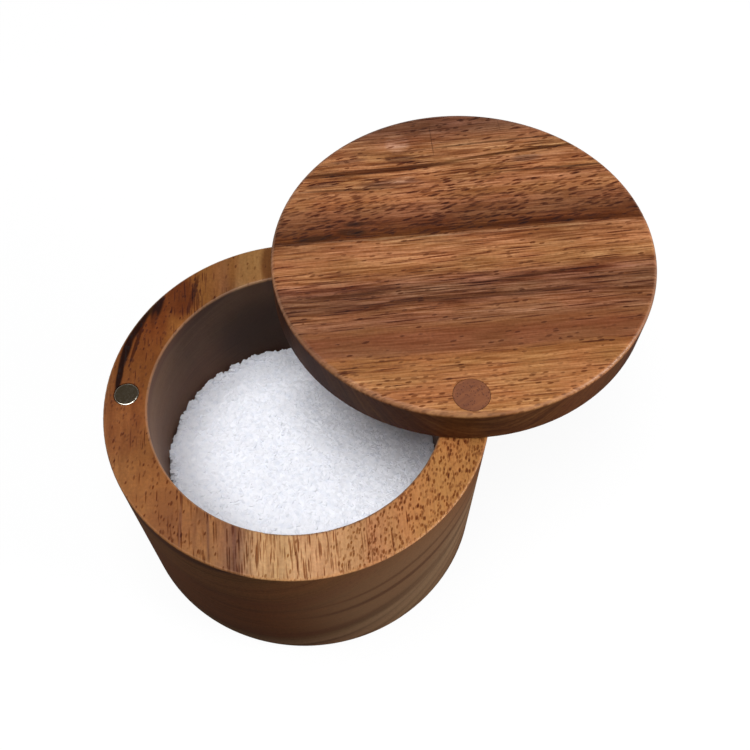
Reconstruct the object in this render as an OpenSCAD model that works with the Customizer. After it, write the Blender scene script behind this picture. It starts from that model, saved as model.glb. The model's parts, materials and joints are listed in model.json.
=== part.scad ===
// Round wooden salt box with a swivel lid.
// The lid turns level about one upright dowel, and a pair of small magnets catches it shut.
// The origin is the middle of the foot, +Z is up, and +X points from the middle to the dowel.
// The lid is drawn swung open, as the box stands in use.

/* [Box] */
// Outside diameter of the box, which the lid matches
box_d = 90; // [74:1:130]
// Height of the box without its lid
box_h = 51; // [44:1:90]
// Thickness of the round wall
wall_t = 10.4; // [9.4:0.2:16]
// Thickness of the floor
floor_t = 9; // [5:0.5:13]
// Radius that eases the two edges of the rim
rim_edge = 0.5; // [0.2:0.1:1]
// Radius that eases the edge of the foot
foot_edge = 1; // [0.4:0.1:3]

/* [Lid] */
// Thickness of the lid
lid_t = 10.5; // [8:0.5:16]
// Radius that eases the upper edge of the lid
lid_top_edge = 1.2; // [0.4:0.1:3]
// Radius that eases the lower edge of the lid
lid_low_edge = 0.6; // [0.2:0.1:2]
// Height that the lid stands clear of the rim, so that it swings without rubbing
lid_gap = 0.25; // [0.1:0.05:0.6]
// Angle that the lid is swung open from shut, clockwise as seen from above
lid_open = 80; // [0:5:355]

/* [Dowel] */
// Diameter of the dowel that the lid turns about
dowel_d = 8; // [5:0.5:8.5]
// Length of the dowel that stands in the box wall
dowel_seat = 22; // [12:1:32]
// Width of the chamfer at the dowel's lower end
dowel_chamfer = 0.6; // [0.2:0.1:1.5]
// Radial clearance in which the dowel turns in the box wall
running_gap = 0.05; // [0.02:0.01:0.1]
// Depth left free under the dowel's lower end
bore_spare = 1; // [0.5:0.5:4]

/* [Magnet catch] */
// Diameter of the two catch magnets
magnet_d = 6; // [4:0.5:8]
// Thickness of each magnet
magnet_t = 3; // [1.5:0.5:5]
// Radius on the edges of each magnet
magnet_edge = 0.3; // [0.1:0.05:0.5]
// Depth of each magnet below the face that it is let into
magnet_recess = 0.1; // [0.05:0.05:0.4]
// Angle between the catch and the point straight across from the dowel
catch_turn = 8.6; // [-30:0.2:30]

/* [Glued seats] */
// Radial glue line round the dowel in the lid and round each magnet
glue_gap = 0.1; // [0.02:0.01:0.15]

/* [Salt] */
// Depth of the salt at the wall, midway along its slope
salt_depth = 11.5; // [6:0.5:24]
// Rise of the heap's crown above its edge, if it were level
salt_crown = 2.5; // [1:0.25:5]
// Distance of the heap's top from the middle of the box
salt_lean = 17; // [0:1:24]
// Direction in which the heap's top lies
salt_lean_angle = 240; // [0:5:355]
// Clearance between the heaped salt and the wall
salt_gap = 0.2; // [0.1:0.05:0.5]

/* [Hidden] */
$fn = 120;

// How far a cutting tool runs past the face that it opens
cut_over = 1;

box_r = box_d / 2;
cavity_r = box_r - wall_t;
mid_wall_r = box_r - wall_t / 2;
lid_z = box_h + lid_gap;

dowel_r = dowel_d / 2;
bore_depth = dowel_seat + bore_spare;
dowel_low = box_h - dowel_seat;
dowel_l = lid_z + lid_t - dowel_low;

magnet_r = magnet_d / 2;
pocket_r = magnet_r + glue_gap;
pocket_depth = magnet_t + magnet_recess;
catch_angle = 180 + catch_turn;

salt_r = cavity_r - salt_gap;
// Radius of the ball whose cap is as wide as the salt and as high as its crown
heap_r = (salt_r * salt_r + salt_crown * salt_crown) / (2 * salt_crown);
// Height of that ball's middle, which puts its cap at the salt's depth beside the wall
heap_z = floor_t + salt_depth - sqrt(heap_r * heap_r - salt_r * salt_r - salt_lean * salt_lean);

// Round disc with a radius on its lower edge and another on its upper edge
module eased_disc(r, h, low_edge, high_edge) {
    rotate_extrude() {
        square([r - low_edge, h - high_edge]);
        translate([0, low_edge])
            square([r, h - low_edge - high_edge]);
        translate([0, low_edge])
            square([r - high_edge, h - low_edge]);
        translate([r - low_edge, low_edge])
            circle(r = low_edge);
        translate([r - high_edge, h - high_edge])
            circle(r = high_edge);
    }
}

// Half section of the box: its floor, its wall and the eased edges of both
module box_section() {
    square([box_r - foot_edge, floor_t]);
    translate([0, foot_edge])
        square([box_r, floor_t - foot_edge]);
    translate([box_r - foot_edge, foot_edge])
        circle(r = foot_edge);
    translate([cavity_r, foot_edge])
        square([wall_t, box_h - foot_edge - rim_edge]);
    translate([cavity_r + rim_edge, foot_edge])
        square([wall_t - 2 * rim_edge, box_h - foot_edge]);
    for (edge_r = [cavity_r + rim_edge, box_r - rim_edge])
        translate([edge_r, box_h - rim_edge])
            circle(r = rim_edge);
}

// Carries what is drawn with the lid shut to where the swung lid has it
module swing_lid() {
    translate([mid_wall_r, 0, 0])
        rotate([0, 0, -lid_open])
            translate([-mid_wall_r, 0, 0])
                children();
}

// Puts a magnet or its pocket at the catch, above or below the height z
module at_catch(z) {
    rotate([0, 0, catch_angle])
        translate([mid_wall_r, 0, z])
            children();
}

module magnet() {
    eased_disc(magnet_r, magnet_t, magnet_edge, magnet_edge);
}

module body() {
    color("#9a6235")
        difference() {
            rotate_extrude()
                box_section();
            translate([mid_wall_r, 0, box_h - bore_depth])
                cylinder(r = dowel_r + running_gap, h = bore_depth + cut_over);
            at_catch(box_h - pocket_depth)
                cylinder(r = pocket_r, h = pocket_depth + cut_over);
        }
}

module lid() {
    color("#a8703f")
        swing_lid()
            difference() {
                translate([0, 0, lid_z])
                    eased_disc(box_r, lid_t, lid_low_edge, lid_top_edge);
                translate([mid_wall_r, 0, lid_z - cut_over])
                    cylinder(r = dowel_r + glue_gap, h = lid_t + 2 * cut_over);
                at_catch(lid_z - cut_over)
                    cylinder(r = pocket_r, h = pocket_depth + cut_over);
            }
}

module pivot_dowel() {
    color("#7c4e37")
        swing_lid()
            translate([mid_wall_r, 0, dowel_low]) {
                cylinder(r1 = dowel_r - dowel_chamfer, r2 = dowel_r, h = dowel_chamfer);
                translate([0, 0, dowel_chamfer])
                    cylinder(r = dowel_r, h = dowel_l - dowel_chamfer);
            }
}

module rim_magnet() {
    color("#8c8a84")
        at_catch(box_h - pocket_depth)
            magnet();
}

module lid_magnet() {
    color("#8c8a84")
        swing_lid()
            at_catch(lid_z + magnet_recess)
                magnet();
}

module salt() {
    color("#f0f1f6")
        intersection() {
            translate([0, 0, floor_t])
                cylinder(r = salt_r, h = box_h - floor_t);
            rotate([0, 0, salt_lean_angle])
                translate([salt_lean, 0, heap_z])
                    sphere(r = heap_r);
        }
}

body();
lid();
pivot_dowel();
rim_magnet();
lid_magnet();
salt();
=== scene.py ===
import json
import math

import bmesh
import bpy
from mathutils import Matrix, Vector, noise
from mathutils.bvhtree import BVHTree

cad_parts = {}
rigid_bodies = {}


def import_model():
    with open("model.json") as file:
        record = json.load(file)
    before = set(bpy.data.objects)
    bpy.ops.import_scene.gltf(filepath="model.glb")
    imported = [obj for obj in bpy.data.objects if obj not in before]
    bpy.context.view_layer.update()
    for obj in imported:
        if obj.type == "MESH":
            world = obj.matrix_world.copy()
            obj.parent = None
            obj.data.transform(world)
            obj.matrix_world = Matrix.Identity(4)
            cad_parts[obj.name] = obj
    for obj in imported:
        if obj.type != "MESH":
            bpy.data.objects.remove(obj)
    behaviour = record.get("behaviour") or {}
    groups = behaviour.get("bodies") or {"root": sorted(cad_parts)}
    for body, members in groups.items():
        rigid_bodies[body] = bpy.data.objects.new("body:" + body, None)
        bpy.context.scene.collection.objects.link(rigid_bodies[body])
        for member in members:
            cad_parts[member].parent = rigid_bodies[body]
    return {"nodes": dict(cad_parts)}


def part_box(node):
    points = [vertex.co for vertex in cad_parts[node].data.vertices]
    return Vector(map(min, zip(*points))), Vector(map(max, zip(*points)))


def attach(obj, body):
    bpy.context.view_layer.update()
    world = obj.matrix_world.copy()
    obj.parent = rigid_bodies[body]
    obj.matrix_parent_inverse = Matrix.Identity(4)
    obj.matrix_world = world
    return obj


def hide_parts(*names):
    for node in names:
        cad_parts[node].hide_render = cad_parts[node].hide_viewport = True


for leftover in list(bpy.data.objects):
    bpy.data.objects.remove(leftover)
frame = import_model()
bpy.context.view_layer.update()
nodes = frame["nodes"]
mm = 0.001
noiseLow, noiseHigh = 0.3, 0.7  # a noise seldom leaves this range


def linearColour(code):
    channels = [int(code[i : i + 2], 16) / 255 for i in (1, 3, 5)]
    linear = [c / 12.92 if c <= 0.04045 else ((c + 0.055) / 1.055) ** 2.4 for c in channels]
    return (*linear, 1.0)


def addNode(tree, kind, inputs=None, **settings):
    made = tree.nodes.new(kind)
    for name, value in settings.items():
        setattr(made, name, value)
    for key, value in (inputs or {}).items():
        if isinstance(value, bpy.types.NodeSocket):
            tree.links.new(value, made.inputs[key])
        else:
            made.inputs[key].default_value = value
    return made


def fillRamp(ramp, stops):
    while len(ramp.elements) > 1:
        ramp.elements.remove(ramp.elements[-1])
    for i, (position, colour) in enumerate(stops):
        element = ramp.elements[0] if i == 0 else ramp.elements.new(position)
        element.position = position
        element.color = colour


def newMaterial(name):
    material = bpy.data.materials.new(name)
    material.use_nodes = True
    material.node_tree.nodes.clear()
    return material, material.node_tree


def finishMaterial(tree, shader):
    addNode(tree, "ShaderNodeOutputMaterial", {"Surface": shader.outputs[0]})


def newObject(name, data):
    made = bpy.data.objects.new(name, data)
    bpy.context.scene.collection.objects.link(made)
    return made


# Oiled acacia, cut from one block: growth rings, fibre lines and open pores run through the
# whole thickness, so the figure on the top carries on down the sides.
# Lengths are millimetres along the grain, across it and up from the piece's top face, and angles
# are degrees. A band is the colour at that place across the grain, and a zone is the share of
# lines or pores there. Marks reach some way into the wood. Skins, painted shade and
# sheen, and slanting figure show on turned faces only: a skin starts between two distances from
# the piece's axis.
lidWood = {
    "grainAngle": 14.0,
    "pith": (120.0, -62.0),  # middle of the rings, across the grain and up
    "wander": 1.5,  # how far the rings stray
    "bands": [
        (-48, "#a16c3d"), (-42, "#ac7344"), (-38, "#ab7144"), (-35, "#ae7648"), (-31, "#9d673b"),
        (-28.6, "#955f36"), (-27.2, "#804f32"), (-23, "#7a482c"), (-21, "#815030"), (-18.5, "#946244"),
        (-16.5, "#8c5a39"), (-14.5, "#7d5137"), (-11, "#81563b"), (-8.5, "#8c5c41"), (-5, "#a06a40"),
        (-1, "#ad754a"), (3, "#a46d45"), (5.0, "#9a6640"), (6.2, "#623619"), (8, "#62351b"),
        (11.5, "#7c4d31"), (15, "#8d5a3a"), (18, "#a76e44"), (21, "#a66f48"), (25, "#a76f44"),
        (28, "#a8734a"), (31, "#aa754a"), (36, "#9b6744"), (39, "#784e37"), (46, "#6f4630"),
    ],
    "streaks": [0.23, 0.32, 0.54],  # contrast of the wide, middling and narrow fibres
    "lineZones": [(-45, 0.3), (-30, 0.35), (-27, 0.05), (-21, 0.1), (-19, 0.7), (-8, 0.9), (-3, 0.45),
                  (5, 0.7), (7, 0.5), (20, 0.4), (24, 0.75), (36, 0.5), (45, 0.4)],
    "lineColour": "#84482a",
    "calm": [],
    "pores": [
        {"length": 2.1, "width": 0.72, "lean": -7.0, "colour": "#a5896a", "calmed": False,
         "zones": [(-45, 1.0), (-36, 0.9), (-32, 0.35), (-20, 0.15), (-6, 0.2), (5, 0.25), (20, 0.15),
                   (36, 0.2), (45, 0.6)]},
        {"length": 3.9, "width": 0.88, "lean": -14.0, "colour": "#8d6139", "calmed": False,
         "zones": [(-45, 0.0), (5.8, 0.0), (7.0, 0.9), (12, 1.0), (20, 0.9), (24, 0.15), (45, 0.0)]},
        {"length": 3.3, "width": 0.8, "lean": -11.0, "colour": "#92663c", "calmed": False,
         "zones": [(-45, 0.0), (7.0, 0.0), (9.0, 0.8), (18, 0.8), (23, 0.2), (45, 0.1)]},
        {"length": 11.0, "width": 0.56, "lean": -2.0, "colour": "#986b46", "calmed": False,
         "zones": [(-45, 0.2), (-29, 0.6), (-27, 0.05), (-21, 0.3), (-18, 0.9), (-6, 1.0), (0, 0.6),
                   (5, 0.8), (7, 0.2), (20, 0.2), (23, 0.9), (36, 0.6), (45, 0.4)]},
    ],
    "marks": [
        {"at": (-19, 27.1), "size": (26, 1.0), "turn": 2.0, "colour": "#572f17", "share": 1.0},
        {"at": (20, 29.8), "size": (28, 0.6), "turn": 4.6, "colour": "#5f3618", "share": 0.95},
        {"at": (16, 33.7), "size": (26, 0.35), "turn": 2.0, "colour": "#5b3721", "share": 0.8},
        {"at": (26, 23.6), "size": (18, 0.4), "turn": 0.5, "colour": "#5b3721", "share": 0.75},
        {"at": (-24, 21.6), "size": (18, 0.4), "turn": -1.0, "colour": "#5f3a25", "share": 0.7},
        {"at": (-14, 22.9), "size": (9, 1.3), "turn": 3.0, "colour": "#684231", "share": 0.7},
        {"at": (-31, 23.6), "size": (5, 0.8), "turn": 6.0, "colour": "#6a4432", "share": 0.6},
        {"at": (-11, 30.4), "size": (4.5, 0.8), "turn": 0.0, "colour": "#66422f", "share": 0.7},
        {"at": (-24, 31.0), "size": (5.5, 0.7), "turn": 4.0, "colour": "#6b4632", "share": 0.6},
        {"at": (20, 27.3), "size": (4.5, 1.2), "turn": 2.0, "colour": "#74503e", "share": 0.6},
        {"at": (-11.3, 35.4), "size": (3.4, 3.4), "turn": 30.0, "colour": "#bb8c6c", "share": 0.65},
        {"at": (-11.5, 23.8), "size": (3.8, 1.2), "turn": 8.0, "colour": "#b48560", "share": 0.6},
        {"at": (-34, 6.9), "size": (6.0, 1.1), "turn": 3.0, "colour": "#352115", "share": 0.7},
        {"at": (-25, 8.2), "size": (4.4, 1.4), "turn": -6.0, "colour": "#352115", "share": 0.65},
        {"at": (-24, 10.6), "size": (3.4, 1.0), "turn": 0.0, "colour": "#38231c", "share": 0.65},
        {"at": (20, 6.7), "size": (30, 0.9), "turn": -0.5, "colour": "#4a2513", "share": 0.7},
        {"at": (-28, -10.9), "size": (12, 0.9), "turn": 0.5, "colour": "#4e2b16", "share": 0.75},
        {"at": (14, -9.0), "size": (12, 0.6), "turn": 4.0, "colour": "#532f18", "share": 0.65},
        {"at": (4, -13.6), "size": (30, 0.8), "turn": 0.4, "colour": "#5c361e", "share": 0.6},
        {"at": (-2.6, 36), "size": (0.16, 6.5), "turn": 0.0, "colour": "#503020", "share": 0.6},
        {"at": (15, 39.5), "size": (0.16, 3.0), "turn": 2.0, "colour": "#5a3826", "share": 0.5},
        {"at": (0, 5.2), "size": (46, 0.4), "turn": -0.8, "colour": "#ad8460", "share": 0.5},
    ],
    "skins": [
        # painted shade: the turned side is multiplied darker and greyer, partly from the oil it drank
        {"from": 44.4, "to": 44.95, "depth": 0.7, "colour": "#8c7d6c", "share": 1.0, "blend": "MULTIPLY"},
    ],
    "shadeSheenAndFigure": [],
    # painted highlight: a paler line on the lid's rounded top edge
    "edgeHighlights": [{"from": 44.2, "to": 44.6, "depth": 0.5, "colour": "#a87f62", "share": 0.35}],
    "roughness": 0.3,
    "turnedRoughness": 0.6,
}

# Bands past 45 mm show on the box's sides alone, where the rings lie further from the pith.
# Their pale grey-tan is partly the rings' figure and partly painted sheen on the side that faces
# the right lamp
bodyWood = {
    "grainAngle": -76.0,
    "pith": (-30.0, 39.0),
    "wander": 0.9,
    "bands": [
        (-30, "#855224"), (-24, "#865427"), (-20, "#8b5a2d"), (-17, "#865530"), (-15.6, "#7d5133"),
        (-14.2, "#714424"), (-13, "#825739"), (-11.5, "#a57c53"), (-8, "#b68a5a"), (0, "#bc8d60"),
        (8, "#b78558"), (16, "#aa7449"), (25, "#a8723f"), (34, "#a66f3d"), (45, "#986435"),
        (48, "#9c7c5e"), (51, "#bfa78f"), (52.6, "#b39a82"), (53.6, "#6f4f36"), (54.6, "#a98e76"),
        (58, "#bda58e"), (59.4, "#a88d74"), (60.4, "#76563c"), (61.6, "#ab9078"), (64, "#b89e86"),
        (65.6, "#77573d"), (68, "#a88c72"), (74, "#82624a"),
    ],
    "streaks": [0.08, 0.14, 0.26],
    "lineZones": [(-45, 0.2), (-30, 0.25), (-27, 0.5), (-12, 0.4), (-10, 0.22), (6, 0.18), (12, 0.06),
                  (45, 0.05)],
    "lineColour": "#8a5434",
    "calm": [{"at": (-40, -8), "size": (18, 16)}],
    "pores": [
        {"length": 4.6, "width": 0.4, "lean": 0.0, "colour": "#a67c58", "calmed": True,
         "zones": [(-45, 0.1), (-30, 0.15), (-28, 0.4), (-14, 0.6), (-11, 1.0), (6, 0.95), (11, 0.2),
                   (45, 0.1)]},
        {"length": 1.7, "width": 0.74, "lean": 12.0, "colour": "#aa844f", "calmed": False,
         "zones": [(-45, 0.3), (-26, 0.2), (-13, 0.1), (3, 0.08), (11, 0.9), (45, 1.0)]},
        {"length": 1.3, "width": 0.6, "lean": 17.0, "colour": "#aa844f", "calmed": False,
         "zones": [(-45, 0.2), (-26, 0.15), (-13, 0.05), (6, 0.05), (13, 0.8), (45, 1.0)]},
        {"length": 7.5, "width": 0.52, "lean": -1.0, "colour": "#a67d58", "calmed": True,
         "zones": [(-45, 0.03), (-29, 0.08), (-26, 0.8), (-12, 0.8), (-9, 0.9), (5, 0.7), (9, 0.05),
                   (45, 0.0)]},
    ],
    "marks": [
        {"at": (-27, -33), "size": (11, 4.0), "turn": 0.0, "colour": "#643013", "share": 0.9},
        {"at": (-31, -27), "size": (8, 4.5), "turn": 0.0, "colour": "#602e14", "share": 0.92},
        {"at": (-31.5, -23.8), "size": (7, 0.75), "turn": -14.0, "colour": "#481f0e", "share": 0.75},
        {"at": (-16, -37), "size": (17, 8), "turn": -8.0, "colour": "#6a3716", "share": 0.85},
        {"at": (3, -40), "size": (14, 7), "turn": 0.0, "colour": "#784320", "share": 0.75},
        {"at": (-28.6, -34.7), "size": (4.6, 2.3), "turn": -35.0, "colour": "#30200c", "share": 0.85},
        {"at": (-9.6, -41.3), "size": (7.0, 0.9), "turn": -7.0, "colour": "#1d0500", "share": 1.0},
        {"at": (-16.5, -39.9), "size": (7.0, 1.25), "turn": -14.0, "colour": "#1d0500", "share": 1.0},
        {"at": (-23.5, -37.1), "size": (6.5, 1.4), "turn": -25.0, "colour": "#220a02", "share": 1.0},
        {"at": (-18.0, -37.5), "size": (7.5, 0.6), "turn": -14.0, "colour": "#3a1606", "share": 0.9},
        {"at": (-28.9, -32.6), "size": (6.2, 1.5), "turn": -12.0, "colour": "#27100a", "share": 1.0},
        {"at": (-24.3, -33.4), "size": (3.2, 0.8), "turn": -6.0, "colour": "#5a2c12", "share": 0.7},
        {"at": (30, -14.8), "size": (14, 0.6), "turn": 2.0, "colour": "#6a3e2a", "share": 0.7},
        {"at": (32, -20.3), "size": (9, 0.35), "turn": 1.0, "colour": "#6a3f26", "share": 0.7},
        {"at": (31, -26.4), "size": (7, 0.45), "turn": -2.0, "colour": "#6b3f25", "share": 0.7},
        {"at": (-40, -8.5), "size": (10, 9.0), "turn": 0.0, "colour": "#8a5a2d", "share": 0.7},
        {"at": (-39, -4.5), "size": (8, 2.5), "turn": 0.0, "colour": "#5c3014", "share": 0.8},
    ],
    "skins": [
        # painted shade: the turned outer side is multiplied darker and greyer, partly from the oil it
        # drank
        {"from": 44.2, "to": 44.9, "depth": 0.3, "colour": "#a38c73", "share": 1.0, "blend": "MULTIPLY"},
        # painted shade: the inner wall is painted dark grey-brown, as the shade in the hollow
        {"from": 35.0, "to": 34.7, "depth": 0.4, "colour": "#5a4135", "share": 0.85, "blend": "MIX"},
    ],
    # painted highlights: paler lines on the rounded outer and inner rim edges
    "edgeHighlights": [
        {"from": 44.4, "to": 44.7, "depth": 0.3, "colour": "#a97850", "share": 0.3},
        {"from": 35.1, "to": 34.85, "depth": 0.35, "colour": "#a98a72", "share": 0.3},
    ],
    "shadeSheenAndFigure": [
        # painted shadow: the inner back wall is darker where the lid shades it
        {"at": (-31, -2, -20), "size": (9, 26, 22), "tilt": (0, 0), "colour": "#6d655e", "share": 0.8,
         "blend": "MULTIPLY"},
        # painted sheen: a greyer patch on the outer side that faces the right lamp
        {"at": (35, 22, -24), "size": (28, 32, 34), "tilt": (0, 0), "colour": "#7b6249", "share": 0.5,
         "blend": "MIX"},
        {"at": (36, 24, -19.5), "size": (40, 34, 1.6), "tilt": (13, 7), "colour": "#a58c7c", "share": 0.7,
         "blend": "MULTIPLY"},
        {"at": (36, 24, -12.5), "size": (34, 30, 1.1), "tilt": (14, 8), "colour": "#b09a8a", "share": 0.6,
         "blend": "MULTIPLY"},
        {"at": (34, 20, -31), "size": (40, 34, 3.2), "tilt": (17, 10), "colour": "#b19c8e", "share": 0.6,
         "blend": "MULTIPLY"},
    ],
    "roughness": 0.3,
    "turnedRoughness": 0.6,
}


# What both pieces of acacia share. Lengths are millimetres, and a noise's scales say how often it
# changes in a millimetre along the grain and across it.
acaciaLook = {
    "halfWidth": 45.0,  # zones are given from minus this to this across the grain
    "slowWander": (0.012, 0.03, 0.03),
    "quickWander": (0.07, 0.25, 0.25),
    "fray": 0.2,
    "markDepth": 7.0,
    "markEdge": (1.1, 0.55),  # where a mark fades out and where it is full, as shares of its size
    "turnedPatchEdge": (1.15, 0.4),
    "calmHeight": 30.0,
    "calmEdge": (0.6, 1.1),
    "fibreScales": [(0.030, 0.55, 1), (0.045, 1.4, 1), (0.12, 2.8, 1)],
    "darkFibre": (0.76, 1.04, 1.3),  # red, green and blue that a dark fibre takes away
    "lightFibre": (0.56, 0.82, 1.15),  # and that a light one adds
    "hueScale": (0.06, 0.22, 1),
    "redderHue": (1.03, 0.982, 1.0, 1),
    "yellowerHue": (0.97, 1.018, 0.985, 1),
    "flecksPerMm": 1.4,
    "fleckLight": (0.86, 1.1),
    "lines": [((0.016, 0.36, 1), 0.08), ((0.035, 0.8, 1), 0.13)],  # scales and width
    "lineBreaks": 0.35,
    "poreCore": (0.42, 0.28),  # where a pore starts and where it is full, as shares of its cell
    "shallowPore": 0.45,
    "sandedShut": 0.75,
    "poreRoughness": 0.7,
    "relief": 0.1,
}


def grainPlace(tree, wood, centre):
    place = addNode(tree, "ShaderNodeTexCoord")
    return addNode(tree, "ShaderNodeMapping",
                   {"Vector": place.outputs["Object"], "Location": centre,
                    "Rotation": (0, 0, math.radians(wood["grainAngle"])), "Scale": (mm, mm, mm)},
                   vector_type="TEXTURE").outputs[0]


# A slow wander bends the rings over tens of millimetres, and a quicker one frays them
def wanderingGrain(tree, wood, grain):
    moved = grain
    for scale, reach in ((acaciaLook["slowWander"], wood["wander"]),
                         (acaciaLook["quickWander"], acaciaLook["fray"])):
        stretched = addNode(tree, "ShaderNodeVectorMath", {0: grain, 1: scale}, operation="MULTIPLY")
        drift = addNode(tree, "ShaderNodeTexNoise",
                        {"Vector": stretched.outputs[0], "Scale": 1.0, "Detail": 2.0})
        centred = addNode(tree, "ShaderNodeVectorMath", {0: drift.outputs["Color"], 1: (0.5, 0.5, 0.5)},
                          operation="SUBTRACT")
        moved = addNode(tree, "ShaderNodeVectorMath",
                        {0: centred.outputs[0], 1: (0, 2 * reach, 2 * reach), 2: moved},
                        operation="MULTIPLY_ADD").outputs[0]
    return moved


# Growth rings about the pith, each coloured by the band where it meets the top face
def ringFigure(tree, wood, moved):
    pithAcross, pithUp = wood["pith"]
    fromPith = addNode(tree, "ShaderNodeVectorMath", {0: moved, 1: (0, pithAcross, pithUp)},
                       operation="SUBTRACT")
    radial = addNode(tree, "ShaderNodeVectorMath", {0: fromPith.outputs[0], 1: (0, 1, 1)},
                     operation="MULTIPLY")
    ring = addNode(tree, "ShaderNodeVectorMath", {0: radial.outputs[0]},
                   operation="LENGTH").outputs["Value"]

    def ringRadius(across):
        return math.hypot(across - pithAcross, pithUp)

    radii = [ringRadius(across) for across, _ in wood["bands"]]
    lowest, highest = min(radii), max(radii)
    share = addNode(tree, "ShaderNodeMapRange", {"Value": ring, "From Min": lowest, "From Max": highest})
    figure = addNode(tree, "ShaderNodeValToRGB", {"Fac": share.outputs[0]})
    fillRamp(figure.color_ramp, sorted(
        ((ringRadius(across) - lowest) / (highest - lowest), linearColour(code))
        for across, code in wood["bands"]))
    return figure.outputs[0], ring


# How much a soft-edged oval spot covers a point, up to share in its middle
def spotCover(tree, place, at, size, turn, edge, share):
    spot = addNode(tree, "ShaderNodeMapping",
                   {"Vector": place, "Location": at, "Rotation": turn, "Scale": size},
                   vector_type="TEXTURE")
    away = addNode(tree, "ShaderNodeVectorMath", {0: spot.outputs[0]}, operation="LENGTH")
    return addNode(tree, "ShaderNodeMapRange",
                   {"Value": away.outputs["Value"], "From Min": edge[0], "From Max": edge[1],
                    "To Max": share}, interpolation_type="SMOOTHSTEP").outputs[0]


# Stains, knots and filled spots that this piece of wood has
def woodMarks(tree, wood, moved, colour):
    for mark in wood["marks"]:
        cover = spotCover(tree, moved, (*mark["at"], 0.0), (*mark["size"], acaciaLook["markDepth"]),
                          (0, 0, math.radians(mark["turn"])), acaciaLook["markEdge"], mark["share"])
        colour = addNode(tree, "ShaderNodeMix", {0: cover, 6: colour, 7: linearColour(mark["colour"])},
                         data_type="RGBA").outputs[2]
    return colour


# Calm places hold no lines and fainter fibres: the share is nothing inside them and full outside
def calmShares(tree, wood, grain):
    shares = []
    nearest, furthest = acaciaLook["calmEdge"]
    for spot in wood["calm"]:
        quiet = addNode(tree, "ShaderNodeMapping",
                        {"Vector": grain, "Location": (*spot["at"], 0.0),
                         "Scale": (*spot["size"], acaciaLook["calmHeight"])}, vector_type="TEXTURE")
        away = addNode(tree, "ShaderNodeVectorMath", {0: quiet.outputs[0]}, operation="LENGTH")
        kept = addNode(tree, "ShaderNodeMapRange",
                       {"Value": away.outputs["Value"], "From Min": nearest, "From Max": furthest})
        shares.append(kept.outputs[0])
    return shares


# A share that changes across the grain, less wherever the wood is calm
def zoneShare(tree, across, zones, calm):
    half = acaciaLook["halfWidth"]
    ramp = addNode(tree, "ShaderNodeValToRGB", {"Fac": across})
    fillRamp(ramp.color_ramp, [((place + half) / (2 * half), (share, share, share, 1))
                               for place, share in zones])
    zone = ramp.outputs[0]
    for kept in calm:
        zone = addNode(tree, "ShaderNodeMath", {0: zone, 1: kept}, operation="MULTIPLY").outputs[0]
    return zone


# Fibre streaks follow the rings and run far along the grain, in three widths.
# A dark fibre is redder than the wood beside it, and a light one paler.
def fibreStreaks(tree, wood, ringPlace, lined, colour):
    vivid = addNode(tree, "ShaderNodeMapRange", {"Value": lined, "From Max": 0.7, "To Min": 0.45})
    fibres = []
    for scale, depth in zip(acaciaLook["fibreScales"], wood["streaks"]):
        stretched = addNode(tree, "ShaderNodeVectorMath", {0: ringPlace, 1: scale}, operation="MULTIPLY")
        fibre = addNode(tree, "ShaderNodeTexNoise",
                        {"Vector": stretched.outputs[0], "Scale": 1.0, "Detail": 3.0, "Roughness": 0.65},
                        noise_dimensions="2D")
        light = addNode(tree, "ShaderNodeMapRange",
                        {"Value": fibre.outputs[0], "From Min": noiseLow, "From Max": noiseHigh})
        held = addNode(tree, "ShaderNodeMix", {0: vivid.outputs[0], 2: 0.5, 3: light.outputs[0]})
        dark = [1 - less * depth for less in acaciaLook["darkFibre"]]
        pale = [1 + more * depth for more in acaciaLook["lightFibre"]]
        tint = addNode(tree, "ShaderNodeMix", {0: held.outputs[0], 6: (*dark, 1), 7: (*pale, 1)},
                       data_type="RGBA")
        colour = addNode(tree, "ShaderNodeVectorMath", {0: colour, 1: tint.outputs[2]},
                         operation="MULTIPLY").outputs[0]
        fibres.append(fibre.outputs[0])
    return colour, fibres


# The hue drifts from redder to yellower wood, and small flecks are lighter or darker
def hueAndFlecks(tree, grain, ringPlace, colour):
    stretched = addNode(tree, "ShaderNodeVectorMath", {0: ringPlace, 1: acaciaLook["hueScale"]},
                        operation="MULTIPLY")
    drift = addNode(tree, "ShaderNodeTexNoise",
                    {"Vector": stretched.outputs[0], "Scale": 1.0, "Detail": 3.0}, noise_dimensions="2D")
    share = addNode(tree, "ShaderNodeMapRange",
                    {"Value": drift.outputs[0], "From Min": 0.35, "From Max": 0.65})
    hue = addNode(tree, "ShaderNodeMix",
                  {0: share.outputs[0], 6: acaciaLook["redderHue"], 7: acaciaLook["yellowerHue"]},
                  data_type="RGBA")
    colour = addNode(tree, "ShaderNodeVectorMath", {0: colour, 1: hue.outputs[2]},
                     operation="MULTIPLY").outputs[0]
    fleck = addNode(tree, "ShaderNodeTexNoise",
                    {"Vector": grain, "Scale": acaciaLook["flecksPerMm"], "Detail": 3.0})
    darkest, lightest = acaciaLook["fleckLight"]
    light = addNode(tree, "ShaderNodeMapRange",
                    {"Value": fleck.outputs[0], "From Min": noiseLow, "From Max": noiseHigh,
                     "To Min": darkest, "To Max": lightest})
    return addNode(tree, "ShaderNodeVectorMath", {0: colour, "Scale": light.outputs[0]},
                   operation="SCALE").outputs[0]


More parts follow.
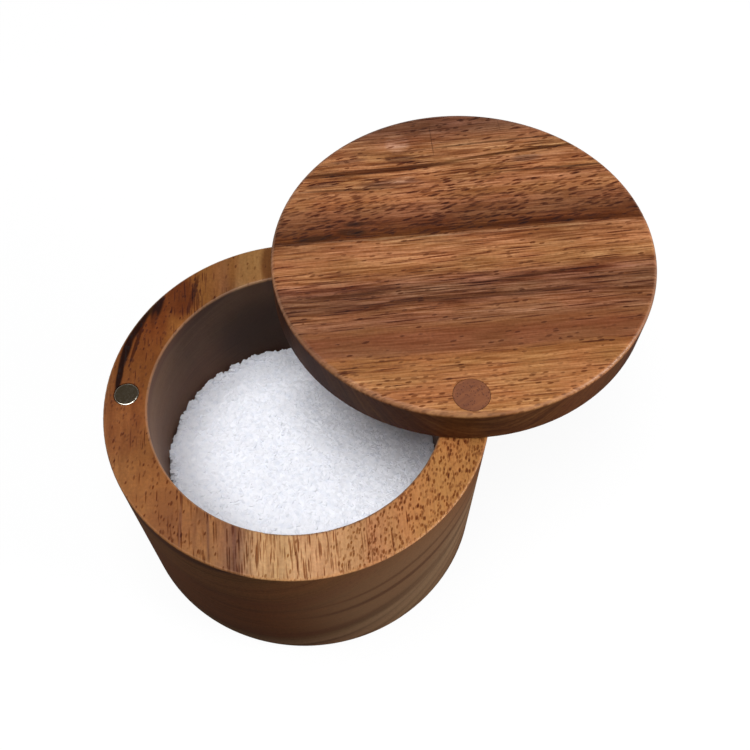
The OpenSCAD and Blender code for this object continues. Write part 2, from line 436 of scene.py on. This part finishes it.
# Thin dark lines lie where a stretched noise crosses its middle value, broken up by the fibres
def darkLines(tree, wood, ringPlace, lined, fibre, colour):
    lines = []
    for scale, width in acaciaLook["lines"]:
        stretched = addNode(tree, "ShaderNodeVectorMath", {0: ringPlace, 1: scale}, operation="MULTIPLY")
        wave = addNode(tree, "ShaderNodeTexNoise",
                       {"Vector": stretched.outputs[0], "Scale": 1.0, "Detail": 1.0, "Roughness": 0.5},
                       noise_dimensions="2D")
        offMiddle = addNode(tree, "ShaderNodeMath", {0: wave.outputs[0], 1: 0.5}, operation="SUBTRACT")
        distance = addNode(tree, "ShaderNodeMath", {0: offMiddle.outputs[0]}, operation="ABSOLUTE")
        line = addNode(tree, "ShaderNodeMapRange",
                       {"Value": distance.outputs[0], "From Min": width, "From Max": 0.0})
        lines.append(addNode(tree, "ShaderNodeMath", {0: line.outputs[0], 1: lined},
                             operation="MULTIPLY").outputs[0])
    either = addNode(tree, "ShaderNodeMath", {0: lines[0], 1: lines[1]}, operation="MAXIMUM")
    patchy = addNode(tree, "ShaderNodeMapRange",
                     {"Value": fibre, "From Min": 0.3, "From Max": 0.6, "To Min": 1.0,
                      "To Max": acaciaLook["lineBreaks"]})
    cover = addNode(tree, "ShaderNodeMath", {0: either.outputs[0], 1: patchy.outputs[0]},
                    operation="MULTIPLY")
    return addNode(tree, "ShaderNodeMix",
                   {0: cover.outputs[0], 6: colour, 7: linearColour(wood["lineColour"])},
                   data_type="RGBA", blend_type="MULTIPLY").outputs[2]


# How much each turned face covers a point, by its distance from the axis and its depth
def turnedCovers(tree, wood, outward, height):
    covers = []
    for skin in wood["skins"]:
        reached = addNode(tree, "ShaderNodeMapRange",
                          {"Value": outward, "From Min": skin["from"], "From Max": skin["to"]})
        below = addNode(tree, "ShaderNodeMapRange",
                        {"Value": height, "From Min": -skin["depth"], "From Max": -2 * skin["depth"]})
        covers.append(addNode(tree, "ShaderNodeMath", {0: reached.outputs[0], 1: below.outputs[0]},
                              operation="MULTIPLY").outputs[0])
    return covers


# Pores are open vessels, cut by the surface into short dark dashes, and sanded nearly shut on the
# turned faces. Real ones are 0.2 to 0.3 mm wide and wouldn't show, so they are drawn about twice
# as wide.
def openPores(tree, wood, grain, across, calm, turned, colour):
    coreEdge, coreMiddle = acaciaLook["poreCore"]
    shut = addNode(tree, "ShaderNodeMath", {0: turned, 1: -acaciaLook["sandedShut"], 2: 1.0},
                   operation="MULTIPLY_ADD")
    hollow = None
    for pores in wood["pores"]:
        leaning = addNode(tree, "ShaderNodeVectorRotate",
                          {"Vector": grain, "Angle": math.radians(pores["lean"])},
                          rotation_type="Z_AXIS")
        cellScale = (1 / pores["length"], 1 / pores["width"], 0.6 / pores["width"])
        stretched = addNode(tree, "ShaderNodeVectorMath", {0: leaning.outputs[0], 1: cellScale},
                            operation="MULTIPLY")
        cells = addNode(tree, "ShaderNodeTexVoronoi", {"Vector": stretched.outputs[0], "Scale": 1.0})
        cut = addNode(tree, "ShaderNodeMapRange",
                      {"Value": cells.outputs["Distance"], "From Min": coreEdge, "From Max": coreMiddle})
        chance = addNode(tree, "ShaderNodeSeparateColor", {0: cells.outputs["Color"]})
        zone = zoneShare(tree, across, pores["zones"], calm if pores["calmed"] else [])
        present = addNode(tree, "ShaderNodeMath", {0: chance.outputs[0], 1: zone}, operation="LESS_THAN")
        depth = addNode(tree, "ShaderNodeMapRange",
                        {"Value": chance.outputs[1], "To Min": acaciaLook["shallowPore"], "To Max": 1.0})
        for share in (present, depth, shut):
            cut = addNode(tree, "ShaderNodeMath", {0: cut.outputs[0], 1: share.outputs[0]},
                          operation="MULTIPLY")
        colour = addNode(tree, "ShaderNodeMix",
                         {0: cut.outputs[0], 6: colour, 7: linearColour(pores["colour"])},
                         data_type="RGBA", blend_type="MULTIPLY").outputs[2]
        if hollow is not None:
            cut = addNode(tree, "ShaderNodeMath", {0: hollow, 1: cut.outputs[0]}, operation="MAXIMUM")
        hollow = cut.outputs[0]
    return colour, hollow


# The turned faces are darker: partly the oil they drank, partly painted shade where the sides get
# less light than the top, and on the inner wall a dark grey-brown painted as the shade in the
# hollow
def oiledAndShadedSkins(tree, wood, covers, colour):
    for skin, cover in zip(wood["skins"], covers):
        share = addNode(tree, "ShaderNodeMath", {0: cover, 1: skin["share"]}, operation="MULTIPLY")
        colour = addNode(tree, "ShaderNodeMix",
                         {0: share.outputs[0], 6: colour, 7: linearColour(skin["colour"])},
                         data_type="RGBA", blend_type=skin["blend"]).outputs[2]
    return colour


# Painted shade and sheen, and slanting figure, that only the turned faces show: a painted shadow
# darkens the inner wall under the lid, and a greyer painted sheen lies on the outer side that
# faces the right lamp
def sideShadeSheenAndFigure(tree, wood, moved, turned, colour):
    for turnedPatch in wood["shadeSheenAndFigure"]:
        tiltAlong, tiltAcross = turnedPatch["tilt"]
        cover = spotCover(tree, moved, turnedPatch["at"], turnedPatch["size"],
                          (math.radians(tiltAlong), math.radians(tiltAcross), 0),
                          acaciaLook["turnedPatchEdge"], turnedPatch["share"])
        share = addNode(tree, "ShaderNodeMath", {0: cover, 1: turned}, operation="MULTIPLY")
        colour = addNode(tree, "ShaderNodeMix",
                         {0: share.outputs[0], 6: colour, 7: linearColour(turnedPatch["colour"])},
                         data_type="RGBA", blend_type=turnedPatch["blend"]).outputs[2]
    return colour


# Painted highlights: rounded edges are painted paler, as the light line they catch
def paintedEdgeHighlights(tree, wood, outward, height, colour):
    for edge in wood["edgeHighlights"]:
        reached = addNode(tree, "ShaderNodeMapRange",
                          {"Value": outward, "From Min": edge["from"], "From Max": edge["to"],
                           "To Max": edge["share"]})
        high = addNode(tree, "ShaderNodeMapRange",
                       {"Value": height, "From Min": -2 * edge["depth"], "From Max": -edge["depth"]})
        highlit = addNode(tree, "ShaderNodeMath", {0: reached.outputs[0], 1: high.outputs[0]},
                         operation="MULTIPLY")
        colour = addNode(tree, "ShaderNodeMix",
                         {0: highlit.outputs[0], 6: colour, 7: linearColour(edge["colour"])},
                         data_type="RGBA").outputs[2]
    return colour


def acacia(name, wood, centre):
    material, tree = newMaterial(name)
    grain = grainPlace(tree, wood, centre)
    moved = wanderingGrain(tree, wood, grain)
    colour, ring = ringFigure(tree, wood, moved)
    split = addNode(tree, "ShaderNodeSeparateXYZ", {0: moved})
    across = addNode(tree, "ShaderNodeMapRange",
                     {"Value": split.outputs["Y"], "From Min": -acaciaLook["halfWidth"],
                      "From Max": acaciaLook["halfWidth"]}).outputs[0]
    ringPlace = addNode(tree, "ShaderNodeCombineXYZ", {"X": split.outputs["X"], "Y": ring}).outputs[0]
    calm = calmShares(tree, wood, grain)
    lined = zoneShare(tree, across, wood["lineZones"], calm)

    colour = woodMarks(tree, wood, moved, colour)
    colour, fibres = fibreStreaks(tree, wood, ringPlace, lined, colour)
    colour = hueAndFlecks(tree, grain, ringPlace, colour)
    colour = darkLines(tree, wood, ringPlace, lined, fibres[0], colour)

    apart = addNode(tree, "ShaderNodeVectorMath", {0: grain, 1: (1, 1, 0)}, operation="MULTIPLY")
    outward = addNode(tree, "ShaderNodeVectorMath", {0: apart.outputs[0]},
                      operation="LENGTH").outputs["Value"]
    height = addNode(tree, "ShaderNodeSeparateXYZ", {0: grain}).outputs["Z"]
    covers = turnedCovers(tree, wood, outward, height)
    turned = addNode(tree, "ShaderNodeMath", {0: covers[0], 1: covers[-1]},
                     operation="MAXIMUM").outputs[0]

    colour, hollow = openPores(tree, wood, grain, across, calm, turned, colour)
    colour = oiledAndShadedSkins(tree, wood, covers, colour)
    colour = sideShadeSheenAndFigure(tree, wood, moved, turned, colour)
    colour = paintedEdgeHighlights(tree, wood, outward, height, colour)

    relief = addNode(tree, "ShaderNodeMath", {0: fibres[2], 1: hollow}, operation="SUBTRACT")
    bump = addNode(tree, "ShaderNodeBump",
                   {"Strength": 0.3, "Distance": acaciaLook["relief"] * mm, "Height": relief.outputs[0]})
    ground = addNode(tree, "ShaderNodeMapRange",
                     {"Value": turned, "To Min": wood["roughness"], "To Max": wood["turnedRoughness"]})
    rough = addNode(tree, "ShaderNodeMix",
                    {0: hollow, 2: ground.outputs[0], 3: acaciaLook["poreRoughness"]})
    shader = addNode(tree, "ShaderNodeBsdfPrincipled",
                     {"Base Color": colour, "Roughness": rough.outputs[0], "IOR": 1.46,
                      "Specular IOR Level": 0.15, "Normal": bump.outputs[0]})
    finishMaterial(tree, shader)
    return material


# Hardwood rod, sanded flush with the lid: end grain, so its pores are dots and it is dark and dull.
# Real pores are about 0.1 mm wide and wouldn't show, so they are drawn about twice that.
dowel = {
    "colour": "#7c4828",
    "darkColour": "#653720",
    "poreColour": "#bfa692",
    "poreGap": 0.42,
    "poreShare": 0.35,
    "ringScale": (0.25, 1.3, 0.02),
    "grainTurn": 0.7,
    "relief": 0.08,
}


def dowelWood(centre):
    material, tree = newMaterial("hardwood dowel, end grain")
    place = addNode(tree, "ShaderNodeTexCoord")
    grain = addNode(tree, "ShaderNodeMapping",
                    {"Vector": place.outputs["Object"], "Location": centre,
                     "Rotation": (0, 0, dowel["grainTurn"]), "Scale": (mm, mm, mm)},
                    vector_type="TEXTURE").outputs[0]
    stretched = addNode(tree, "ShaderNodeVectorMath", {0: grain, 1: dowel["ringScale"]},
                        operation="MULTIPLY")
    rings = addNode(tree, "ShaderNodeTexNoise",
                    {"Vector": stretched.outputs[0], "Scale": 1.0, "Detail": 4.0})
    share = addNode(tree, "ShaderNodeMapRange",
                    {"Value": rings.outputs[0], "From Min": noiseLow, "From Max": noiseHigh})
    base = addNode(tree, "ShaderNodeMix",
                   {0: share.outputs[0], 6: linearColour(dowel["darkColour"]),
                    7: linearColour(dowel["colour"])}, data_type="RGBA")
    gap = dowel["poreGap"]
    poreScale = addNode(tree, "ShaderNodeVectorMath", {0: grain, 1: (1 / gap, 1 / gap, 0.1)},
                        operation="MULTIPLY")
    cells = addNode(tree, "ShaderNodeTexVoronoi", {"Vector": poreScale.outputs[0], "Scale": 1.0})
    chance = addNode(tree, "ShaderNodeSeparateColor", {0: cells.outputs["Color"]})
    present = addNode(tree, "ShaderNodeMath", {0: chance.outputs[0], 1: dowel["poreShare"]},
                      operation="LESS_THAN")
    core = addNode(tree, "ShaderNodeMapRange",
                   {"Value": cells.outputs["Distance"], "From Min": 0.5, "From Max": 0.25})
    pore = addNode(tree, "ShaderNodeMath", {0: core.outputs[0], 1: present.outputs[0]},
                   operation="MULTIPLY")
    colour = addNode(tree, "ShaderNodeMix",
                     {0: pore.outputs[0], 6: base.outputs[2], 7: linearColour(dowel["poreColour"])},
                     data_type="RGBA", blend_type="MULTIPLY")
    relief = addNode(tree, "ShaderNodeMath", {0: rings.outputs[0], 1: pore.outputs[0]},
                     operation="SUBTRACT")
    bump = addNode(tree, "ShaderNodeBump",
                   {"Strength": 0.3, "Distance": dowel["relief"] * mm, "Height": relief.outputs[0]})
    shader = addNode(tree, "ShaderNodeBsdfPrincipled",
                     {"Base Color": colour.outputs[2], "Roughness": 0.5, "IOR": 1.46,
                      "Specular IOR Level": 0.35, "Normal": bump.outputs[0]})
    finishMaterial(tree, shader)
    return material


# Polished nickel plate on a small magnet: a warm grey mirror that shows the dark above it, with a
# bright line on its rounded edge, and faint scuffs where the lid's magnet snaps on. Real scuffs
# are hairlines, too fine to show, and are drawn as soft patches half a millimetre across.
plating = {
    "colour": "#c9c4b8",
    "dullColour": "#bdb7ab",
    "scuffGap": 0.5,
    "polished": 0.1,
    "scuffed": 0.17,
    "relief": 0.01,
}


def nickelPlate():
    material, tree = newMaterial("nickel plate, polished")
    place = addNode(tree, "ShaderNodeTexCoord")
    spread = addNode(tree, "ShaderNodeVectorMath",
                     {0: place.outputs["Object"], "Scale": 1 / (plating["scuffGap"] * mm)},
                     operation="SCALE")
    scuffs = addNode(tree, "ShaderNodeTexNoise",
                     {"Vector": spread.outputs[0], "Scale": 1.0, "Detail": 4.0})
    dull = addNode(tree, "ShaderNodeMapRange",
                   {"Value": scuffs.outputs[0], "From Min": 0.45, "From Max": 0.75})
    colour = addNode(tree, "ShaderNodeMix",
                     {0: dull.outputs[0], 6: linearColour(plating["colour"]),
                      7: linearColour(plating["dullColour"])}, data_type="RGBA")
    rough = addNode(tree, "ShaderNodeMapRange",
                    {"Value": dull.outputs[0], "To Min": plating["polished"],
                     "To Max": plating["scuffed"]})
    bump = addNode(tree, "ShaderNodeBump",
                   {"Strength": 0.02, "Distance": plating["relief"] * mm, "Height": scuffs.outputs[0]})
    shader = addNode(tree, "ShaderNodeBsdfPrincipled",
                     {"Base Color": colour.outputs[2], "Metallic": 1.0, "Roughness": rough.outputs[0],
                      "Normal": bump.outputs[0]})
    finishMaterial(tree, shader)
    return material


# Table salt, crystallised: small clear cubes that together scatter a cool white, some of them a
# little greyer where more of the light goes through, with only a faint glint
crystals = {
    "whiteColour": "#f4f6fd",
    "clearColour": "#e9edf7",
    "tintGap": 1.4,
    "dullest": 0.55,
    "glossiest": 0.4,
}


def tableSalt():
    material, tree = newMaterial("table salt, crystallised")
    place = addNode(tree, "ShaderNodeTexCoord")
    spread = addNode(tree, "ShaderNodeVectorMath",
                     {0: place.outputs["Object"], "Scale": 1 / (crystals["tintGap"] * mm)},
                     operation="SCALE")
    clear = addNode(tree, "ShaderNodeTexNoise",
                    {"Vector": spread.outputs[0], "Scale": 1.0, "Detail": 2.0})
    share = addNode(tree, "ShaderNodeMapRange",
                    {"Value": clear.outputs[0], "From Min": 0.45, "From Max": 0.75})
    colour = addNode(tree, "ShaderNodeMix",
                     {0: share.outputs[0], 6: linearColour(crystals["whiteColour"]),
                      7: linearColour(crystals["clearColour"])}, data_type="RGBA")
    rough = addNode(tree, "ShaderNodeMapRange",
                    {"Value": share.outputs[0], "To Min": crystals["dullest"],
                     "To Max": crystals["glossiest"]})
    shader = addNode(tree, "ShaderNodeBsdfPrincipled",
                     {"Base Color": colour.outputs[2], "Roughness": rough.outputs[0], "IOR": 1.54})
    finishMaterial(tree, shader)
    return material


def dress(node, material):
    for holder in nodes[node].material_slots:
        holder.material = material


def boxCentre(node):
    low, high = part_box(node)
    return [(low[i] + high[i]) / 2 for i in range(3)]


print("wood")
lidMiddle = boxCentre("lid")
dress("lid", acacia("acacia lid, oiled", lidWood, (lidMiddle[0], lidMiddle[1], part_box("lid")[1][2])))
dress("body", acacia("acacia box, oiled", bodyWood, (0, 0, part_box("body")[1][2])))
dress("pivot_dowel", dowelWood(boxCentre("pivot_dowel")))

print("magnets")
nickel = nickelPlate()
dress("rim_magnet", nickel)
dress("lid_magnet", nickel)

# A heap of fine salt that leans on the wall, where its crystals stand clear of the edge.
# Lengths are millimetres. Real crystals are about 0.4 mm and are drawn twice as big, or they
# wouldn't show.
saltHeap = {
    "ringGap": 0.35,
    "solidGap": 0.2,  # between the CAD solid and the wall
    "wallGap": 0.06,  # between this heap and the wall
    "lumps": [(9.0, 0.5), (3.4, 0.3)],  # width and rise of its unevenness
    "bankFrom": 0.93,  # share of the radius where the ragged edge starts
    "bankWidth": 0.07,
    "wallRagged": 1.7,
    "raggedWidths": (2.1, 0.9),
    "seed": 11,
    "grainSize": 1.1,
    "grainsPerSquareMm": 2.8,
    "grainMargin": 0.35,  # kept free at the wall
    "grainShape": (1.0, 1.0, 0.8),
    "grainSpread": (0.5, 1.0),  # smallest and largest, as a share of the grain size
    "tilt": 0.3,
    "turn": 6.28,
    "sunk": 0.32,
    "raisedAtWall": 0.25,
    "wallBand": (0.8, 2.4),  # over which the grains go from raised to sunk
}


def saltSurface(sizes, reach, solidReach):
    solid = BVHTree.FromObject(nodes["salt"], bpy.context.evaluated_depsgraph_get())
    drop = Vector((0, 0, -1))
    aboveAll = 1.0
    justInside = 0.995 * solidReach
    coarse, fine = sizes["raggedWidths"]

    def heightAt(x, y):
        away = math.hypot(x, y)
        inside = min(1.0, justInside / max(away, 1e-9))
        height = solid.ray_cast(Vector((x * inside, y * inside, aboveAll)), drop)[0].z
        for size, rise in sizes["lumps"]:
            spot = Vector((x, y, sizes["seed"] * size * mm)) / (size * mm)
            height += noise.noise(spot) * rise * mm
        banked = max(0.0, (away / reach - sizes["bankFrom"]) / sizes["bankWidth"])
        ragged = noise.noise(Vector((x, y, 0)) / (coarse * mm))
        ragged += 0.6 * noise.noise(Vector((x, y, mm)) / (fine * mm))
        return height + banked * ragged * sizes["wallRagged"] * mm

    return heightAt


# Six sectors of triangles, ring by ring, then a wall down to the floor and a flat underside
def heapMesh(sizes):
    low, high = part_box("salt")
    reach = high[0] + (sizes["solidGap"] - sizes["wallGap"]) * mm
    rings = round(reach / (sizes["ringGap"] * mm))
    heightAt = saltSurface(sizes, reach, high[0])

    mesh = bmesh.new()
    rows = [[mesh.verts.new((0, 0, heightAt(0, 0)))]]
    for ring in range(1, rings + 1):
        radius = reach * ring / rings
        row = []
        for step in range(6 * ring):
            angle = 2 * math.pi * step / (6 * ring)
            x, y = radius * math.cos(angle), radius * math.sin(angle)
            row.append(mesh.verts.new((x, y, heightAt(x, y))))
        rows.append(row)
    for ring in range(1, rings + 1):
        inner, outer = rows[ring - 1], rows[ring]
        for sector in range(6):
            for step in range(ring):
                a = outer[sector * ring + step]
                b = outer[(sector * ring + step + 1) % len(outer)]
                c = inner[(sector * (ring - 1) + step) % len(inner)]
                mesh.faces.new((a, b, c))
                if step < ring - 1:
                    d = inner[(sector * (ring - 1) + step + 1) % len(inner)]
                    mesh.faces.new((c, b, d))
    foot = [mesh.verts.new((v.co.x, v.co.y, low[2])) for v in rows[-1]]
    for i, v in enumerate(rows[-1]):
        j = (i + 1) % len(foot)
        mesh.faces.new((rows[-1][j], v, foot[i], foot[j]))
    mesh.faces.new(list(reversed(foot)))
    bmesh.ops.recalc_face_normals(mesh, faces=mesh.faces)
    made = bpy.data.meshes.new("saltHeap")
    mesh.to_mesh(made)
    mesh.free()
    for face in made.polygons:
        face.use_smooth = True
    return made


# Crystals strewn over the heap, sunk into it, and raised where it meets the wall
def grainTree(sizes, material):
    tree = bpy.data.node_groups.new("saltGrains", "GeometryNodeTree")
    tree.interface.new_socket("Heap", in_out="INPUT", socket_type="NodeSocketGeometry")
    for name in ("Grain size", "Grains per area", "Reach", "Sunk", "Raised at wall"):
        tree.interface.new_socket(name, in_out="INPUT", socket_type="NodeSocketFloat")
    tree.interface.new_socket("Grains", in_out="OUTPUT", socket_type="NodeSocketGeometry")
    given = addNode(tree, "NodeGroupInput")
    place = addNode(tree, "GeometryNodeInputPosition")
    flat = addNode(tree, "ShaderNodeVectorMath", {0: place.outputs[0], 1: (1, 1, 0)},
                   operation="MULTIPLY")
    away = addNode(tree, "ShaderNodeVectorMath", {0: flat.outputs[0]}, operation="LENGTH")
    inside = addNode(tree, "FunctionNodeCompare",
                     {0: away.outputs["Value"], 1: given.outputs["Reach"]}, operation="LESS_THAN")
    points = addNode(tree, "GeometryNodeDistributePointsOnFaces",
                     {"Mesh": given.outputs["Heap"], "Selection": inside.outputs[0],
                      "Density": given.outputs["Grains per area"], "Seed": 5})
    crystal = addNode(tree, "GeometryNodeMeshCube", {"Size": sizes["grainShape"]})
    smallest, largest = sizes["grainSpread"]
    size = addNode(tree, "FunctionNodeRandomValue", {2: smallest, 3: largest, "Seed": 2},
                   data_type="FLOAT")
    scale = addNode(tree, "ShaderNodeMath", {0: size.outputs[1], 1: given.outputs["Grain size"]},
                    operation="MULTIPLY")
    tilt = sizes["tilt"]
    turn = addNode(tree, "FunctionNodeRandomValue",
                   {0: (-tilt, -tilt, 0), 1: (tilt, tilt, sizes["turn"]), "Seed": 3},
                   data_type="FLOAT_VECTOR")
    fromWall = addNode(tree, "ShaderNodeMath", {0: given.outputs["Reach"], 1: away.outputs["Value"]},
                       operation="SUBTRACT")
    below = addNode(tree, "ShaderNodeMath", {0: given.outputs["Sunk"], 1: -1.0}, operation="MULTIPLY")
    bandStart, bandEnd = sizes["wallBand"]
    rise = addNode(tree, "ShaderNodeMapRange",
                   {"Value": fromWall.outputs[0], "From Min": bandStart * mm, "From Max": bandEnd * mm,
                    "To Min": given.outputs["Raised at wall"], "To Max": below.outputs[0]})
    offset = addNode(tree, "ShaderNodeCombineXYZ", {"Z": rise.outputs[0]})
    sunk = addNode(tree, "GeometryNodeSetPosition",
                   {"Geometry": points.outputs["Points"], "Offset": offset.outputs[0]})
    laid = addNode(tree, "GeometryNodeInstanceOnPoints",
                   {"Points": sunk.outputs[0], "Instance": crystal.outputs["Mesh"],
                    "Rotation": turn.outputs[0], "Scale": scale.outputs[0]})
    real = addNode(tree, "GeometryNodeRealizeInstances", {0: laid.outputs[0]})
    dressed = addNode(tree, "GeometryNodeSetMaterial",
                      {"Geometry": real.outputs[0], "Material": material})
    addNode(tree, "NodeGroupOutput", {0: dressed.outputs[0]})
    return tree


def saltGrains(heapData, sizes, material):
    made = newObject("saltGrains", heapData)
    tree = grainTree(sizes, material)
    maker = made.modifiers.new("saltGrains", "NODES")
    maker.node_group = tree
    inputs = {
        "Grain size": sizes["grainSize"] * mm,
        "Grains per area": sizes["grainsPerSquareMm"] / mm**2,
        "Reach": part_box("salt")[1][0] - sizes["grainMargin"] * mm,
        "Sunk": sizes["sunk"] * mm,
        "Raised at wall": sizes["raisedAtWall"] * mm,
    }
    for socket in tree.interface.items_tree:
        if socket.name in inputs:
            maker[socket.identifier] = inputs[socket.name]
    view = bpy.context.evaluated_depsgraph_get()
    plain = bpy.data.meshes.new_from_object(made.evaluated_get(view))
    made.modifiers.clear()
    made.data = plain
    plain.name = "saltGrains"
    return made


print("salt")
salt = tableSalt()
heap = newObject("saltHeap", heapMesh(saltHeap))
heap.data.materials.append(salt)
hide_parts("salt")
grains = saltGrains(heap.data, saltHeap, salt)
print("salt crystals:", len(grains.data.polygons) // 6)
for piece in (heap, grains):
    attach(piece, "box")

# White paper that the camera sees as white. It keeps the box's shadow and throws little light back.
# Polished metal sees a white horizon round it and a dark ceiling above.
studio = {
    "floorSize": 3.0,
    "floorWhite": 0.91,
    "floorGloss": 0.1,  # share of that white that mirrored rays see, or it veils the dark wood
    "floorBounce": "#504c48",
    "aboveColour": "#463d30",
    "aboveFrom": 0.25,
    "aboveFull": 0.75,
    "ambient": "#424448",
    "seenColour": "#ffffff",
}
softboxes = {
    "softboxAbove": {"place": (-0.1, -0.09, 0.8), "aim": (0, 0, 0.03), "size": (0.7, 0.6), "watts": 7.0},
    "softboxRight": {"place": (0.74, -0.04, 0.24), "aim": (0, 0, 0.04), "size": (0.4, 0.4), "watts": 6.1},
}


# Light Path, and the rays that see the backdrop: straight from the camera or through a clear piece
def backdropRays(tree):
    rays = addNode(tree, "ShaderNodeLightPath")
    seen = addNode(tree, "ShaderNodeMath",
                   {0: rays.outputs["Is Camera Ray"], 1: rays.outputs["Is Transmission Ray"]},
                   operation="MAXIMUM")
    return rays, seen.outputs[0]


def whitePaper():
    material, tree = newMaterial("white paper floor")
    rays, seen = backdropRays(tree)
    shown = addNode(tree, "ShaderNodeMath",
                    {0: rays.outputs["Is Glossy Ray"], 1: studio["floorGloss"], 2: seen},
                    operation="MULTIPLY_ADD")
    share = addNode(tree, "ShaderNodeMath", {0: shown.outputs[0], 1: studio["floorWhite"]},
                    operation="MULTIPLY")
    colour = addNode(tree, "ShaderNodeMix",
                     {0: seen, 6: linearColour(studio["floorBounce"]),
                      7: linearColour(studio["seenColour"])}, data_type="RGBA")
    paper = addNode(tree, "ShaderNodeBsdfDiffuse", {"Color": colour.outputs[2]})
    glow = addNode(tree, "ShaderNodeEmission", {"Strength": 1.0})
    both = addNode(tree, "ShaderNodeMixShader",
                   {0: share.outputs[0], 1: paper.outputs[0], 2: glow.outputs[0]})
    finishMaterial(tree, both)
    return material


def studioSky():
    world = bpy.data.worlds.new("studio")
    world.use_nodes = True
    tree = world.node_tree
    tree.nodes.clear()
    rays, seen = backdropRays(tree)
    place = addNode(tree, "ShaderNodeTexCoord")
    up = addNode(tree, "ShaderNodeSeparateXYZ", {0: place.outputs["Generated"]})
    rise = addNode(tree, "ShaderNodeMapRange",
                   {"Value": up.outputs["Z"], "From Min": studio["aboveFrom"],
                    "From Max": studio["aboveFull"]})
    mirrored = addNode(tree, "ShaderNodeMix",
                       {0: rise.outputs[0], 6: linearColour(studio["seenColour"]),
                        7: linearColour(studio["aboveColour"])}, data_type="RGBA")
    soft = addNode(tree, "ShaderNodeMix",
                   {0: rays.outputs["Is Glossy Ray"], 6: linearColour(studio["ambient"]),
                    7: mirrored.outputs[2]}, data_type="RGBA")
    colour = addNode(tree, "ShaderNodeMix",
                     {0: seen, 6: soft.outputs[2], 7: linearColour(studio["seenColour"])},
                     data_type="RGBA")
    sky = addNode(tree, "ShaderNodeBackground", {"Color": colour.outputs[2]})
    addNode(tree, "ShaderNodeOutputWorld", {"Surface": sky.outputs[0]})
    return world


def softbox(name, settings):
    data = bpy.data.lights.new(name, "AREA")
    data.shape = "RECTANGLE"
    data.size, data.size_y = settings["size"]
    data.energy = settings["watts"]
    lamp = newObject(name, data)
    lamp.location = settings["place"]
    back = Vector(settings["place"]) - Vector(settings["aim"])
    lamp.rotation_euler = back.to_track_quat("Z", "Y").to_euler()


print("studio")
floorMesh = bmesh.new()
bmesh.ops.create_grid(floorMesh, x_segments=1, y_segments=1, size=studio["floorSize"] / 2)
floorData = bpy.data.meshes.new("floor")
floorMesh.to_mesh(floorData)
floorMesh.free()
floor = newObject("floor", floorData)
floor.data.materials.append(whitePaper())
bpy.context.scene.world = studioSky()
for name, settings in softboxes.items():
    softbox(name, settings)

print("camera")
# Fitted to the photo: angles in degrees, place in metres, the rest in pixels but for the sensor
photoView = {
    "azimuth": 18.665,
    "elevation": 61.035,
    "roll": -8.231,
    "place": (0.03376, -0.10461, 0.23368),
    "focal": 917.09,
    "middle": (292.7, 428.9),
    "width": 750,
    "sensor": 36.0,
}
cameraData = bpy.data.cameras.new("photoView")
cameraData.sensor_width = photoView["sensor"]
cameraData.lens = photoView["focal"] / photoView["width"] * photoView["sensor"]
cameraData.shift_x = 0.5 - photoView["middle"][0] / photoView["width"]
cameraData.shift_y = photoView["middle"][1] / photoView["width"] - 0.5
cameraData.clip_start = 0.005
camera = newObject("photoView", cameraData)
camera.matrix_world = (
    Matrix.Translation(photoView["place"])
    @ Matrix.Rotation(math.radians(photoView["azimuth"]), 4, "Z")
    @ Matrix.Rotation(math.radians(90 - photoView["elevation"]), 4, "X")
    @ Matrix.Rotation(math.radians(photoView["roll"]), 4, "Z")
)
bpy.context.scene.camera = camera
bpy.context.scene.view_settings.view_transform = "Standard"

bpy.context.view_layer.update()
